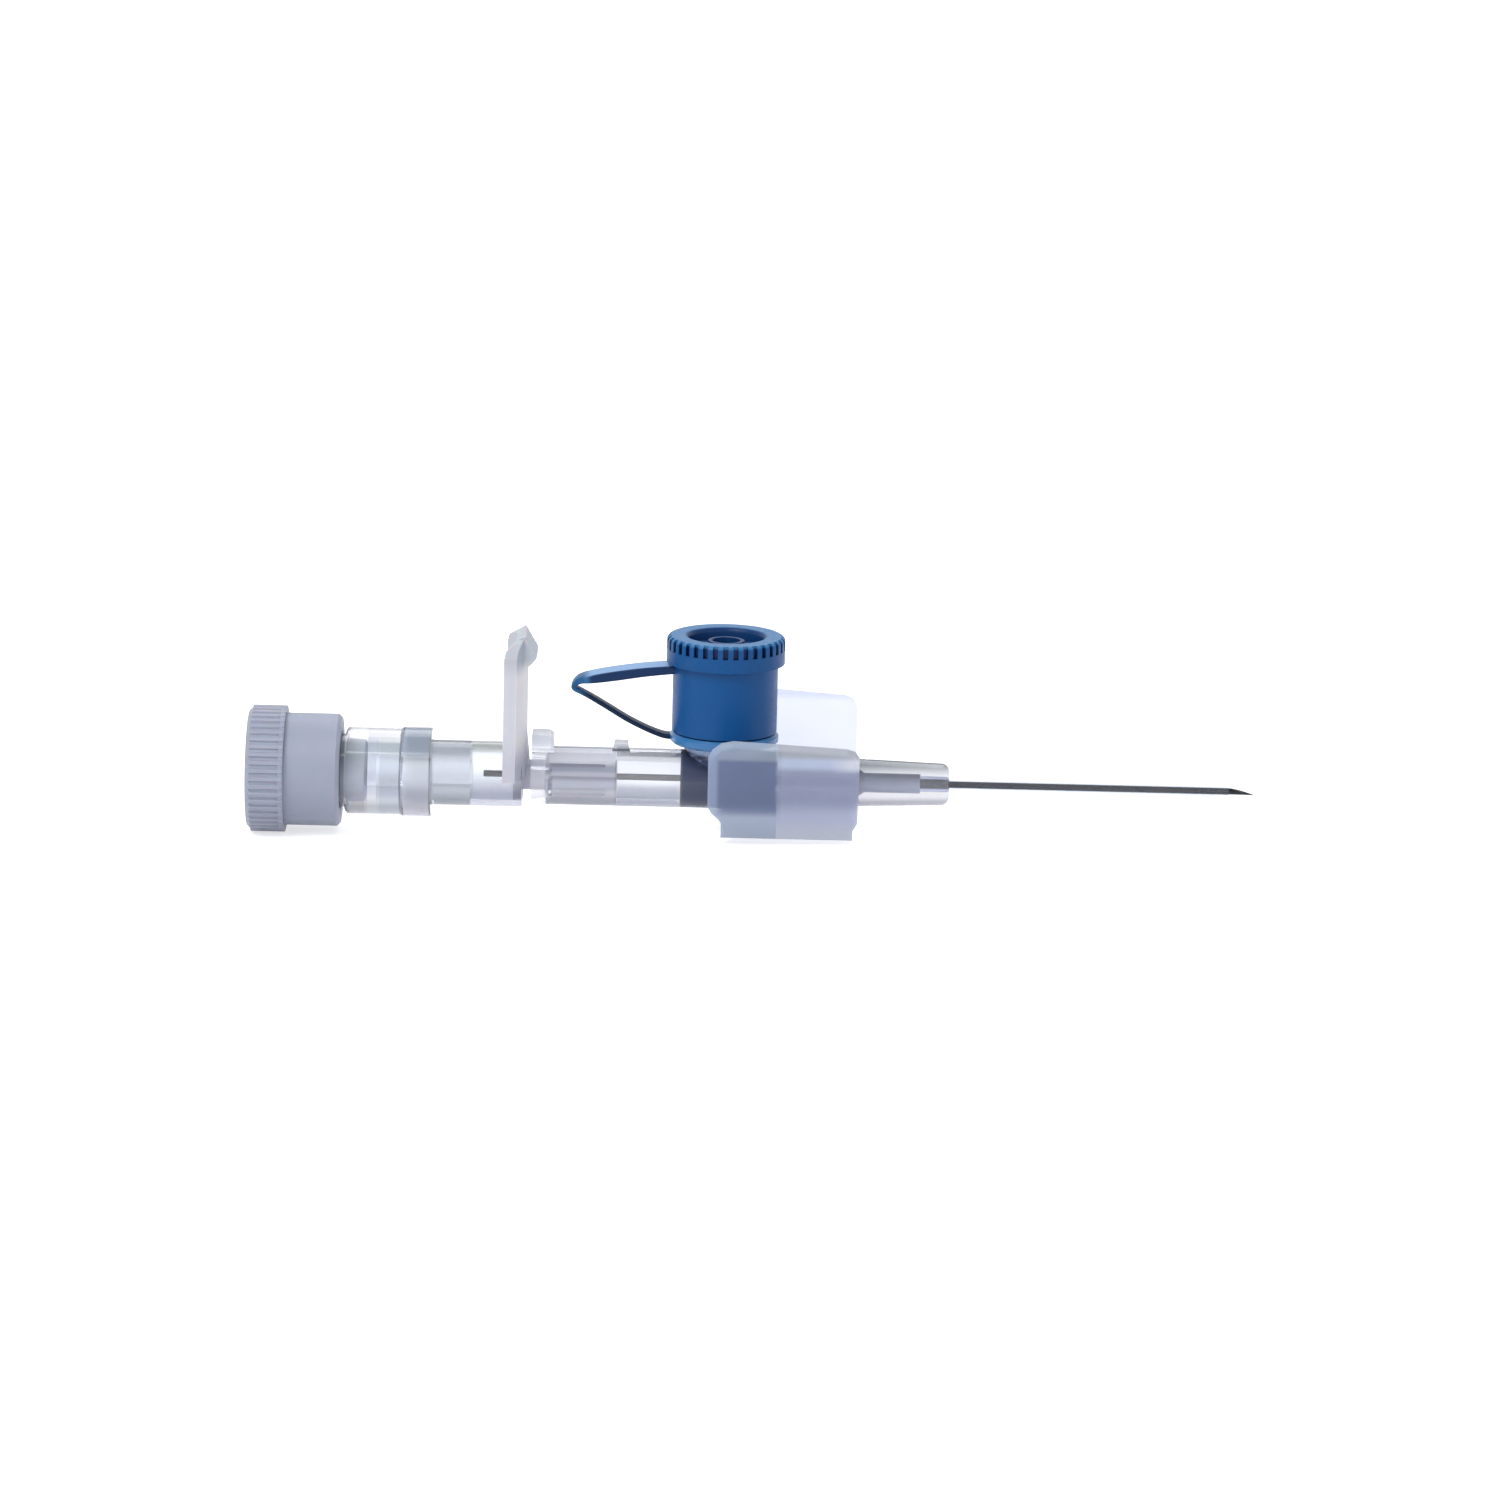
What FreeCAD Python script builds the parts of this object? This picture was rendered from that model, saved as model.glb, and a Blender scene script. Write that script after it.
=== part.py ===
import FreeCAD, Part
import math
import os

V = FreeCAD.Vector

# Intravenous cannula, 22 gauge, with port and wings, in millimetres.
# Origin: the needle's axis at the nose face of the catheter hub. +X points to the needle tip,
# +Z is up, the cannula lies along X with its port and thumb tab standing up.

# Fits
slide_gap = 0.03
press_gap = 0.02
turn_gap = 0.04
taper = 0.03          # radius lost per millimetre of length in a six per cent luer taper

# Needle and catheter tube
needle_radius = 0.29
needle_bore = 0.18
needle_tip = 27.4
needle_tail = 3.5         # how far the needle stands into the flash chamber
bevel_length = 2.3
lancet_length = 1.1
grind_angle = 14.0
tube_radius = 0.45
tube_tip_radius = 0.38
tube_tip = 25.0
tube_taper_length = 2.4
tube_back = -6.6
tube_seat_radius = 0.48
tube_step = 0.7           # length over which the tube swells to its seat behind the nose face

# Catheter hub
nose_radius = 1.87
nose_round = 0.7
nose_back = -8.2
nose_back_radius = 2.15
shoulder_x = -11.6
shoulder_radius = 2.5
hub_radius = 2.63
hub_full = -13.0
hub_back = -37.3
bushing_front = -2.6
bushing_back = -7.6
bushing_radius = 0.62
bushing_flare = 1.02
bushing_end = -8.4
funnel_back = -14.6
valve_front = -15.55
valve_back = -24.0
valve_radius = 2.05
valve_wall = 0.45
luer_mouth = 2.15
luer_depth = 7.6
lug_radius = 3.9
lug_length = 2.1
lug_half_width = 1.3
block_length = 2.0
block_top = 3.9
rib_place = 7.0           # from the hub's back to the small rib on its top
rib_length = 1.9
rib_half_width = 0.8
rib_height = 0.6

# Port on top of the hub
port_x = -20.2
port_radius = 3.3
port_top = 9.95
port_mouth = 2.15
port_foot_radius = 3.7
port_foot_top = 3.45
port_foot_bottom = 0.9

# Ring, strap and cap
ring_radius = 4.85
ring_bottom = port_foot_top + slide_gap
ring_top = 4.4
cap_radius = 4.68
cap_bottom = 4.55
flange_radius = 5.27
flange_bottom = 10.6
cap_top = 13.15
cap_round = 0.45
notch_count = 36
notch_depth = 0.35
notch_bottom = 12.0
notch_top = 13.3
recess_radius = 3.35
recess_floor = 11.3
boss_radius = 1.62
boss_bore = 1.25
boss_top = 12.7
boss_bore_bottom = 6.4
cap_plug_bottom = 5.2
web_count = 4
web_half = 0.3
strap_width = 2.6
strap_thick = 0.78
strap_reach = 13.45       # from the port's axis to the outside of the fold
strap_drop = 0.45         # from the flange down to the strap's upper arm

# Wings
wing_back = -21.5
wing_front = -8.2
wing_root_back = -20.3
wing_root_front = -8.6
fold_y = 4.0
fold_z = -3.95
fold_radius = 0.45
wing_thick = 0.9
wing_rise = 52.0
wing_reach = 12.6
wing_reach_front = 11.85
wing_neck = 2.5
wing_edge = 0.3
cradle_wall = 0.7
cradle_half_width = 1.9
flank_lip = 0.05          # the flank thins to this above the fold line, clear of the raised wing

# Needle hub with thumb tab
cone_stand = 1.6          # from the hub's mouth to the back of the male cone
cone_length = 6.0
neck_radius = 1.35
flute_count = 6
flute_depth = 0.35
flute_width = 0.85
end_disc = 0.8            # from the hub's mouth to the face that the chamber butts on
end_spigot_length = 0.8
tab_stand = 0.45          # from the hub's mouth to the front of the curved tab
tab_half_width = 4.2
tab_bottom = 0.1
tab_top = 13.2
tab_curve = 10.0
tab_wall = 1.0
grip_half_width = 2.6
lug_clear = 0.25          # between the hub's mouth and the tab behind its lugs
gusset_half = 0.8
gusset_top = 5.0
tab_corner = 1.9          # height lost at the tab's rounded top corners

# Flash chamber and its clear end piece
chamber_radius = 2.92
chamber_bore = 2.35
chamber_length = 10.7
end_piece_radius = 4.0
end_piece_length = 5.1    # behind the chamber's back edge, up to the stem
collar_length = 2.6       # over the chamber's outside
collar_step = 0.12
spigot_length = 6.2       # inside the chamber
vent_hole = 0.9
stem_radius = 3.3
stem_length = 4.7

# Luer plug with its two-start thread
thread_lead = 5.0
thread_root = 4.0
thread_crest = 3.5
ridge_base = 1.25
ridge_crest = 0.75
lug_sweep = 70.0
lug_top = 3.88
lug_gap = 0.11
skirt_radius = 5.02
skirt_gap = 0.4           # from the end piece's shoulder to the front of the skirt
floor_gap = 0.3           # from the stem's mouth to the floor of the skirt
rim_set = 0.35            # from the skirt's floor back to the front of the ribbed rim
rim_length = 3.35
rim_radius = 5.65
rim_rib = 0.16
rim_ribs = 48
plug_cone_length = 6.6    # of the male cone inside the stem
plug_bore = 0.9
pocket_radius = 3.4
pocket_depth = 1.7
filter_thick = 0.9

# Places along the needle's axis, each worked out from the hub's back and the lengths above
cone_back = hub_back + cone_stand
cone_front = cone_back + cone_length
tab_front = hub_back - tab_stand
end_back = hub_back - end_disc
end_spigot = end_back - end_spigot_length
needle_back = end_back - needle_tail
chamber_back = end_back - chamber_length
collar_front = chamber_back + collar_length
spigot_front = chamber_back + spigot_length
end_piece_back = chamber_back - end_piece_length
stem_back = end_piece_back - stem_length
skirt_front = end_piece_back - skirt_gap
skirt_floor = stem_back - floor_gap
rim_front = skirt_floor - rim_set
rim_back = rim_front - rim_length
plug_cone_tip = stem_back + plug_cone_length
pocket_floor = rim_back + pocket_depth
far_back = rim_back - 5   # beyond everything, for tools that cut right through
far_front = tube_tip + 5


def turned(points):
    """Solid turned about the needle's axis from (x, radius) points."""
    wire = Part.makePolygon([V(x, 0, r) for x, r in points + points[:1]])
    return Part.Face(wire).revolve(V(0, 0, 0), V(1, 0, 0), 360)


def upright(points):
    """Solid turned about the port's upright axis from (radius, z) points."""
    wire = Part.makePolygon([V(port_x + r, 0, z) for r, z in points + points[:1]])
    return Part.Face(wire).revolve(V(port_x, 0, 0), V(0, 0, 1), 360)


def block(x0, x1, y0, y1, z0, z1):
    """Box between two corners."""
    return Part.makeBox(x1 - x0, y1 - y0, z1 - z0, V(x0, y0, z0))


def slab(points, plane, low, high):
    """Outline in the XZ or YZ plane pushed through to a solid."""
    if plane == "xz":
        wire = Part.makePolygon([V(a, low, b) for a, b in points + points[:1]])
        return Part.Face(wire).extrude(V(0, high - low, 0))
    wire = Part.makePolygon([V(low, a, b) for a, b in points + points[:1]])
    return Part.Face(wire).extrude(V(high - low, 0, 0))


def joined(shapes):
    """One solid from several that overlap."""
    return shapes[0].fuse(shapes[1:]).removeSplitter()


def less(shape, tools):
    """Shape with the tools cut away."""
    return shape.cut(tools).removeSplitter()


def rounded(shape, radius, wanted):
    """Shape with the wanted edges rounded."""
    edges = [edge for edge in shape.Edges if wanted(edge)]
    return shape.makeFillet(radius, edges)


def around(shape, count, centre, axis):
    """Copies of a shape spaced evenly about an axis."""
    copies = []
    for i in range(count):
        copy = shape.copy()
        copy.rotate(centre, axis, 360.0 * i / count)
        copies.append(copy)
    return copies


def mirrored(shape):
    """Same shape on the other side of the upright middle plane."""
    return shape.mirror(V(0, 0, 0), V(0, 1, 0))


def ribbon(points, width):
    """Thin strip along (x, z, thickness) points, centred on the middle plane."""
    upper = []
    lower = []
    for i, (x, z, thick) in enumerate(points):
        before = points[max(i - 1, 0)]
        after = points[min(i + 1, len(points) - 1)]
        dx = after[0] - before[0]
        dz = after[1] - before[1]
        length = math.hypot(dx, dz)
        nx = -dz / length * thick / 2
        nz = dx / length * thick / 2
        upper.append(V(x + nx, -width / 2, z + nz))
        lower.append(V(x - nx, -width / 2, z - nz))
    top = Part.BSplineCurve()
    top.interpolate(upper)
    bottom = Part.BSplineCurve()
    bottom.interpolate(lower)
    edges = [top.toShape(), Part.makeLine(upper[-1], lower[-1])]
    edges += [bottom.toShape(), Part.makeLine(lower[0], upper[0])]
    return Part.Face(Part.Wire(Part.__sortEdges__(edges))).extrude(V(0, width, 0))


def ribbed_disc(low, high, count, x0, x1):
    """Disc with fine axial ribs round its edge."""
    points = []
    for i in range(count):
        for share, r in ((0.0, low), (0.3, low), (0.45, high), (0.85, high)):
            angle = 2 * math.pi * (i + share) / count
            points.append((r * math.cos(angle), r * math.sin(angle)))
    return slab(points, "yz", x0, x1)


def helical_ridge(profile, x_start, turns, angle):
    """Ridge of (x, radius) section wound about the needle's axis, right-handed."""
    path = Part.makeHelix(thread_lead, thread_lead * turns, thread_root)
    wire = Part.makePolygon([V(r, 0, x) for x, r in profile + profile[:1]])
    ridge = Part.Wire(path).makePipeShell([wire], True, True)
    ridge.rotate(V(0, 0, 0), V(0, 1, 0), 90)
    ridge.rotate(V(0, 0, 0), V(1, 0, 0), angle)
    ridge.translate(V(x_start, 0, 0))
    return ridge


# Needle, a ground tube with a lancet point whose bevel faces up
needle = turned([(needle_back, needle_bore), (needle_tip, needle_bore),
                 (needle_tip, needle_radius), (needle_back, needle_radius)])
bevel = slab([(needle_tip - bevel_length, needle_radius + 0.01), (needle_tip + 0.3, needle_radius + 0.01),
              (needle_tip + 0.3, -needle_radius), (needle_tip, -needle_radius)], "xz", -1, 1)
grind = slab([(needle_tip - lancet_length, -0.5), (needle_tip + 0.3, -0.5),
              (needle_tip + 0.3, 0.5), (needle_tip - lancet_length, 0.5)], "xz", 0, 1)
grind.rotate(V(needle_tip, 0, 0), V(0, 0, 1), -grind_angle)
needle = less(needle, [bevel, grind, mirrored(grind)])

# Catheter tube, thinned at its tip, and the bushing that wedges it in the nose
catheter_tube = turned([(tube_back, needle_radius + slide_gap), (tube_tip, needle_radius + slide_gap),
                        (tube_tip, tube_tip_radius), (tube_tip - tube_taper_length, tube_radius),
                        (0, tube_radius), (-tube_step, tube_seat_radius), (tube_back, tube_seat_radius)])
ferrule_radius = bushing_radius - press_gap
ferrule_bore = tube_seat_radius + press_gap
catheter_bushing = turned([(bushing_front - press_gap, ferrule_bore),
                           (bushing_front - press_gap, ferrule_radius),
                           (bushing_back, ferrule_radius), (bushing_end, bushing_flare - press_gap),
                           (bushing_end, bushing_flare - 0.1), (bushing_back, ferrule_bore)])

# Catheter hub: turned body, port foot and port, all one clear moulding
hub_outside = turned([(0, 0), (0, nose_radius), (nose_back, nose_back_radius),
                      (shoulder_x, shoulder_radius), (hub_full, hub_radius),
                      (hub_back, hub_radius), (hub_back, 0)])
hub_outside = rounded(hub_outside, nose_round, lambda e: abs(e.BoundBox.XMin) < 1e-6)
luer_end = luer_mouth - taper * luer_depth
hub_inside = turned([(1, 0), (1, ferrule_bore), (bushing_front, ferrule_bore),
                     (bushing_front, bushing_radius), (bushing_back, bushing_radius),
                     (bushing_end, bushing_flare), (funnel_back, valve_radius - valve_wall),
                     (valve_front, valve_radius - valve_wall), (valve_front, valve_radius),
                     (valve_back, valve_radius), (valve_back, luer_end),
                     (hub_back + luer_depth, luer_end), (hub_back - 1, luer_mouth + taper),
                     (hub_back - 1, 0)])
port_outside = upright([(0, port_foot_bottom), (port_foot_radius - 1.5, port_foot_bottom),
                        (port_foot_radius, port_foot_top - 0.4), (port_foot_radius, port_foot_top),
                        (port_radius, port_foot_top), (port_radius, port_top), (0, port_top)])
port_inside = upright([(0, 0), (port_mouth - taper * port_top, 0), (port_mouth, port_top),
                       (port_mouth, port_top + 1), (0, port_top + 1)])
key_block = block(hub_back, hub_back + block_length, -lug_half_width, lug_half_width, 2, block_top)
key_block = rounded(key_block, 0.6, lambda e: e.BoundBox.XMin > hub_back + 1
                    and e.BoundBox.ZMin > block_top - 0.01)
hub_lug = turned([(hub_back, 2), (hub_back, lug_radius), (hub_back + lug_length - 0.5, lug_radius),
                  (hub_back + lug_length, 2)])
hub_lug = hub_lug.common(block(hub_back - 1, hub_back + 3, 2, 5, -lug_half_width, lug_half_width))
rib_back = hub_back + rib_place
rib_front = rib_back + rib_length
top_rib = slab([(rib_back, 2), (rib_front, 2), (rib_front - 0.35, hub_radius + rib_height),
                (rib_back + 0.35, hub_radius + rib_height)], "xz", -rib_half_width, rib_half_width)
catheter_hub = joined([hub_outside, port_outside, key_block, hub_lug, mirrored(hub_lug), top_rib])
catheter_hub = less(catheter_hub, [hub_inside, port_inside])

# Silicone sleeve that lies inside the hub under the port and lifts off it when fluid is pushed in
sleeve_radius = valve_radius - press_gap
port_valve = turned([(valve_front - press_gap, valve_radius - valve_wall),
                     (valve_front - press_gap, sleeve_radius),
                     (valve_back, sleeve_radius), (valve_back, valve_radius - valve_wall)])

# Ring round the foot of the port
cap_ring = upright([(port_radius + turn_gap, ring_bottom), (ring_radius - 0.2, ring_bottom),
                    (ring_radius, ring_bottom + 0.2), (ring_radius, ring_top - 0.25),
                    (ring_radius - 0.25, ring_top), (port_radius + turn_gap, ring_top)])

# Cap: skirt over the port, tapered plug in it, notched flange and a recess with a hollow boss
plug_foot = port_mouth - turn_gap - taper * (port_top - cap_plug_bottom)
cap_ceiling = port_top + slide_gap
port_cap = upright([(port_radius + turn_gap, cap_bottom), (cap_radius, cap_bottom),
                    (cap_radius, flange_bottom), (flange_radius, flange_bottom + 0.15),
                    (flange_radius, cap_top), (recess_radius, cap_top),
                    (recess_radius - 0.15, recess_floor), (boss_radius, recess_floor),
                    (boss_radius, boss_top), (boss_bore, boss_top), (boss_bore, boss_bore_bottom),
                    (0, boss_bore_bottom), (0, cap_plug_bottom), (plug_foot - 0.3, cap_plug_bottom),
                    (plug_foot, cap_plug_bottom + 0.3), (port_mouth - turn_gap, cap_ceiling),
                    (port_radius + turn_gap, cap_ceiling)])


def cap_rim(edge):
    """True for the outer and inner edges of the cap's top face."""
    box = edge.BoundBox
    return box.ZMin > cap_top - 0.01 and box.XLength > 1


port_cap = rounded(port_cap, cap_round, cap_rim)
notch_width = 2 * math.pi * flange_radius / notch_count * 0.5
notch = block(port_x + flange_radius - notch_depth, port_x + flange_radius + 1,
              -notch_width / 2, notch_width / 2, notch_bottom, notch_top)
port_cap = less(port_cap, around(notch, notch_count, V(port_x, 0, 0), V(0, 0, 1)))
web = block(port_x + boss_radius - 0.2, port_x + recess_radius + 0.2, -web_half, web_half,
            recess_floor - 0.1, boss_top - 0.55)
web_turn = V(port_x, 0, 0)
webs = around(web, web_count, web_turn, V(0, 0, 1))
for piece in webs:
    piece.rotate(web_turn, V(0, 0, 1), 45)
port_cap = joined([port_cap] + webs)

# Strap from the cap to the ring, folded at a thin hinge. Each point gives its share of the strap's
# reach, of the height between its two ends, and of its thickness.
strap_line = [(0.25, 1.0, 1.0), (0.37, 1.0, 1.0), (0.54, 0.98, 1.05), (0.73, 0.925, 1.1), (0.88, 0.865, 0.95),
              (0.96, 0.81, 0.6), (1.0, 0.735, 0.38), (0.995, 0.665, 0.38), (0.95, 0.615, 0.4),
              (0.88, 0.535, 0.45), (0.765, 0.39, 0.48), (0.64, 0.23, 0.48), (0.51, 0.095, 0.48),
              (0.41, 0.015, 0.55), (0.33, 0.0, 0.64), (0.24, 0.0, 0.64)]
strap_high = flange_bottom - strap_drop
strap_low = (ring_bottom + ring_top) / 2 - 0.04
strap = ribbon([(port_x - strap_reach * along, strap_low + (strap_high - strap_low) * up, strap_thick * thick)
                for along, up, thick in strap_line], strap_width)
ring_space = upright([(0, 0), (ring_radius, 0), (ring_radius, cap_bottom), (0, cap_bottom)])
cap_reach = cap_radius + slide_gap
cap_space = upright([(0, ring_bottom), (cap_reach, ring_bottom), (cap_reach, cap_top), (0, cap_top)])
cap_strap = less(strap, [ring_space, cap_space])

# Wing root: a cradle under the hub with two short flanks that end at the fold lines
flank = slab([(0.4, -hub_radius - 0.1), (1.6, -hub_radius + 0.45), (fold_y, fold_z + flank_lip),
              (fold_y, fold_z - fold_radius + slide_gap), (1.2, -hub_radius - cradle_wall - 0.05)],
             "yz", wing_root_back, wing_root_front)
cradle = Part.makeCylinder(hub_radius + cradle_wall, wing_root_front - wing_root_back,
                           V(wing_root_back, 0, 0), V(1, 0, 0))
cradle = cradle.common(block(wing_root_back, 0, -cradle_half_width, cradle_half_width, -5, -1.5))
knuckle_room = Part.makeCylinder(fold_radius + slide_gap, wing_front - wing_back + 2,
                                 V(wing_back - 1, fold_y, fold_z), V(1, 0, 0))
hub_room = turned([(0, 0), (0, nose_back_radius), (nose_back, nose_back_radius),
                   (shoulder_x, shoulder_radius), (hub_full, hub_radius), (hub_back, hub_radius),
                   (hub_back, 0)])
wing_root = joined([cradle, flank, mirrored(flank)])
wing_root = less(wing_root, [knuckle_room, mirrored(knuckle_room), hub_room])

# One wing drawn lying flat, then raised about its fold line
wing_outline = [(wing_root_back, 0), (wing_root_back, wing_neck - 0.9),
                (wing_root_back - 0.25, wing_neck - 0.3),
                (wing_back + 0.3, wing_neck + 0.55), (wing_back, wing_neck + 1.4),
                (wing_back, wing_reach - 2.2), (wing_back + 0.35, wing_reach - 1.2),
                (wing_back + 1.1, wing_reach - 0.35), (wing_back + 2.2, wing_reach),
                (wing_front - 1.1, wing_reach_front), (wing_front - 0.35, wing_reach_front - 0.35),
                (wing_front, wing_reach_front - 1.1), (wing_front, 2.0), (wing_root_front, 0.9),
                (wing_root_front, 0)]
wire = Part.makePolygon([V(x, fold_y + v, fold_z - fold_radius) for x, v in wing_outline + wing_outline[:1]])
blade = Part.Face(wire).extrude(V(0, 0, wing_thick))
blade = rounded(blade, wing_edge, lambda e: e.Length > 0.2 and abs(e.BoundBox.ZLength) < 1e-6
                and e.BoundBox.YMax > fold_y + 1.5)
knuckle = Part.makeCylinder(fold_radius, wing_root_front - wing_root_back,
                            V(wing_root_back, fold_y, fold_z), V(1, 0, 0))
left_wing = joined([blade, knuckle])
left_wing.rotate(V(0, fold_y, fold_z), V(1, 0, 0), wing_rise)
right_wing = mirrored(left_wing)

# Needle hub: fluted male cone, neck, end disc with a spigot in the chamber, and the thumb tab
cone_mouth = luer_mouth - turn_gap
cone_root_radius = cone_mouth - taper * (cone_back - hub_back)
cone_tip_radius = cone_mouth - taper * (cone_front - hub_back)
spigot_radius = chamber_bore - press_gap
needle_hub = turned([(cone_front, 0), (cone_front, cone_tip_radius - 0.15),
                     (cone_front - 0.15, cone_tip_radius), (cone_back, cone_root_radius),
                     (cone_back, neck_radius), (end_back, neck_radius), (end_back, spigot_radius),
                     (end_spigot, spigot_radius), (end_spigot, 0)])
flute = block(cone_back - 0.1, cone_front - 1.0, -flute_width / 2, flute_width / 2,
              cone_tip_radius - flute_depth, 3)
needle_hub = less(needle_hub, around(flute, flute_count, V(0, 0, 0), V(1, 0, 0)))
tab_centre = tab_front - tab_curve
band = Part.makeCylinder(tab_curve, tab_top - tab_bottom, V(tab_centre, 0, tab_bottom))
band = band.cut(Part.makeCylinder(tab_curve - tab_wall, tab_top, V(tab_centre, 0, 0)))
band = band.common(block(tab_centre + 4, tab_front + 1, -tab_half_width, tab_half_width, 0, tab_top))
tab_back = tab_front - 4.25
face_cut = slab([(tab_back, tab_bottom), (tab_front + 0.95, tab_bottom), (tab_front + 0.95, tab_top - 2.7),
                 (tab_front - 0.25, tab_top - 0.05), (tab_front - 2.0, tab_top - 1.3),
                 (tab_back, tab_top - 3.0)],
                "xz", -tab_half_width - 1, tab_half_width + 1)
band = band.common(face_cut)
shoulder = [(tab_half_width, tab_top - tab_corner), (tab_half_width - 0.3, tab_top - 0.62 * tab_corner),
            (tab_half_width - 1.0, tab_top - 0.3 * tab_corner),
            (tab_half_width - 2.2, tab_top - 0.08 * tab_corner), (tab_half_width - 3.2, tab_top)]
round_top = slab([(-tab_half_width, 0), (tab_half_width, 0)] + shoulder
                 + [(-y, z) for y, z in reversed(shoulder)], "yz", tab_back, tab_front + 1)
band = band.common(round_top)
grip = slab([(tab_front - 0.75, tab_top - 0.3), (tab_front - 0.35, tab_top - 0.1),
             (tab_front + 0.8, tab_top - 2.05), (tab_front + 0.25, tab_top - 2.7),
             (tab_front - 0.75, tab_top - 3.2)],
            "xz", -grip_half_width, grip_half_width)
gusset = slab([(end_back, 1.0), (tab_front + 0.25, 1.0), (tab_front - 0.15, gusset_top),
               (tab_front - 0.75, gusset_top)], "xz", -gusset_half, gusset_half)
needle_hub = joined([needle_hub, band, grip, gusset])
chamber_room = turned([(end_back, 0), (end_back, chamber_radius), (chamber_back, chamber_radius),
                       (chamber_back, 0)])
spigot_keep = turned([(end_back, 0), (end_back, spigot_radius), (end_spigot, spigot_radius), (end_spigot, 0)])
lug_room = block(hub_back - lug_clear, cone_front, -lug_radius - 2, lug_radius + 2, 1.5, lug_radius + 0.3)
needle_hub = less(needle_hub, [chamber_room.cut(spigot_keep), lug_room])
needle_hub = less(needle_hub, [turned([(far_front, 0), (far_front, needle_radius), (far_back, needle_radius),
                                       (far_back, 0)])])

# Flash chamber tube
flash_chamber = turned([(end_back, chamber_bore), (end_back, chamber_radius),
                        (chamber_back, chamber_radius), (chamber_back, chamber_bore)])

# Clear end piece: spigot in the chamber, socket round it, and a stem with a female luer and two lugs
stem_bore_end = luer_mouth - taper * luer_depth
socket_radius = chamber_radius + press_gap
end_piece = turned([(spigot_front, vent_hole), (spigot_front, spigot_radius), (chamber_back, spigot_radius),
                    (chamber_back, socket_radius), (collar_front, socket_radius),
                    (collar_front, end_piece_radius), (chamber_back, end_piece_radius),
                    (chamber_back - 0.2, end_piece_radius - collar_step),
                    (end_piece_back + 0.2, end_piece_radius - collar_step),
                    (end_piece_back, end_piece_radius - 0.4), (end_piece_back, stem_radius),
                    (stem_back, stem_radius), (stem_back, luer_mouth),
                    (stem_back + luer_depth, stem_bore_end), (stem_back + luer_depth, vent_hole)])
pitch = thread_lead / 2
slope = (ridge_base - ridge_crest) / (thread_root - thread_crest)
groove_top = pitch - ridge_crest - slope * (lug_top - thread_crest)
lug_width = groove_top - 2 * lug_gap
lug_base = lug_width + slope * (lug_top - stem_radius + 0.15)
lug_section = [(-lug_width / 2, lug_top), (lug_width / 2, lug_top),
               (lug_base / 2, stem_radius - 0.15), (-lug_base / 2, stem_radius - 0.15)]
lug_start = stem_back + 0.55
lugs = [helical_ridge(lug_section, lug_start, lug_sweep / 360, angle) for angle in (0, 180)]
end_piece = joined([end_piece] + lugs)
end_piece = less(end_piece, [turned([(stem_back - 3, 0), (stem_back - 3, 5), (stem_back, 5),
                                     (stem_back, 0)])])

# Porous disc in the back of the luer plug, where air leaves the chamber
filter_front = pocket_floor - slide_gap
filter_radius = pocket_radius - turn_gap
vent_filter = turned([(filter_front, 0), (filter_front, filter_radius),
                      (filter_front - filter_thick, filter_radius), (filter_front - filter_thick, 0)])

# Luer plug: ribbed rim, skirt with a two-start thread, and the male cone
plug_mouth = luer_mouth - turn_gap
cone_tip = plug_mouth - taper * (plug_cone_tip - stem_back)
cone_base = plug_mouth + taper * (stem_back - skirt_floor)
plug_outside = turned([(rim_front - 0.1, 0), (rim_front - 0.1, skirt_radius),
                       (skirt_front - 0.3, skirt_radius),
                       (skirt_front, skirt_radius - 0.3), (skirt_front, 0)])
rim = ribbed_disc(rim_radius - rim_rib, rim_radius, rim_ribs, rim_back + 0.35, rim_front)
rim_end = turned([(rim_back, 0), (rim_back, rim_radius - 0.5), (rim_back + 0.36, rim_radius - rim_rib + 0.02),
                  (rim_back + 0.36, 0)])
rim_lip = turned([(rim_front - 0.4, 0), (rim_front - 0.4, rim_radius), (rim_front, rim_radius - 0.1),
                  (rim_front, 0)])
ridge_section = [(-ridge_base / 2 - 0.25, thread_root + 0.25), (ridge_base / 2 + 0.25, thread_root + 0.25),
                 (ridge_crest / 2, thread_crest), (-ridge_crest / 2, thread_crest)]
ridge_turns = 1.9
ridge_start = lug_start + pitch / 2 - pitch * 2
ridges = [helical_ridge(ridge_section, ridge_start, ridge_turns, angle) for angle in (0, 180)]
skirt_room = turned([(skirt_floor, 0), (skirt_floor, thread_root), (skirt_front + 1, thread_root),
                     (skirt_front + 1, 0)])
skirt_room.rotate(V(0, 0, 0), V(1, 0, 0), 32)    # its seam lies away from the starts of the thread
skirt_room = skirt_room.cut(ridges)
cone = turned([(skirt_floor - 0.5, 0), (skirt_floor - 0.5, cone_base), (skirt_floor, cone_base),
               (plug_cone_tip - 0.15, cone_tip), (plug_cone_tip, cone_tip - 0.15), (plug_cone_tip, 0)])
air_path = turned([(far_back, 0), (far_back, pocket_radius), (pocket_floor, pocket_radius),
                   (pocket_floor, plug_bore), (plug_cone_tip + 1, plug_bore), (plug_cone_tip + 1, 0)])
luer_plug = joined([plug_outside, rim, rim_end, rim_lip]).cut(skirt_room)
luer_plug = less(luer_plug.fuse(cone), [air_path])

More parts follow.
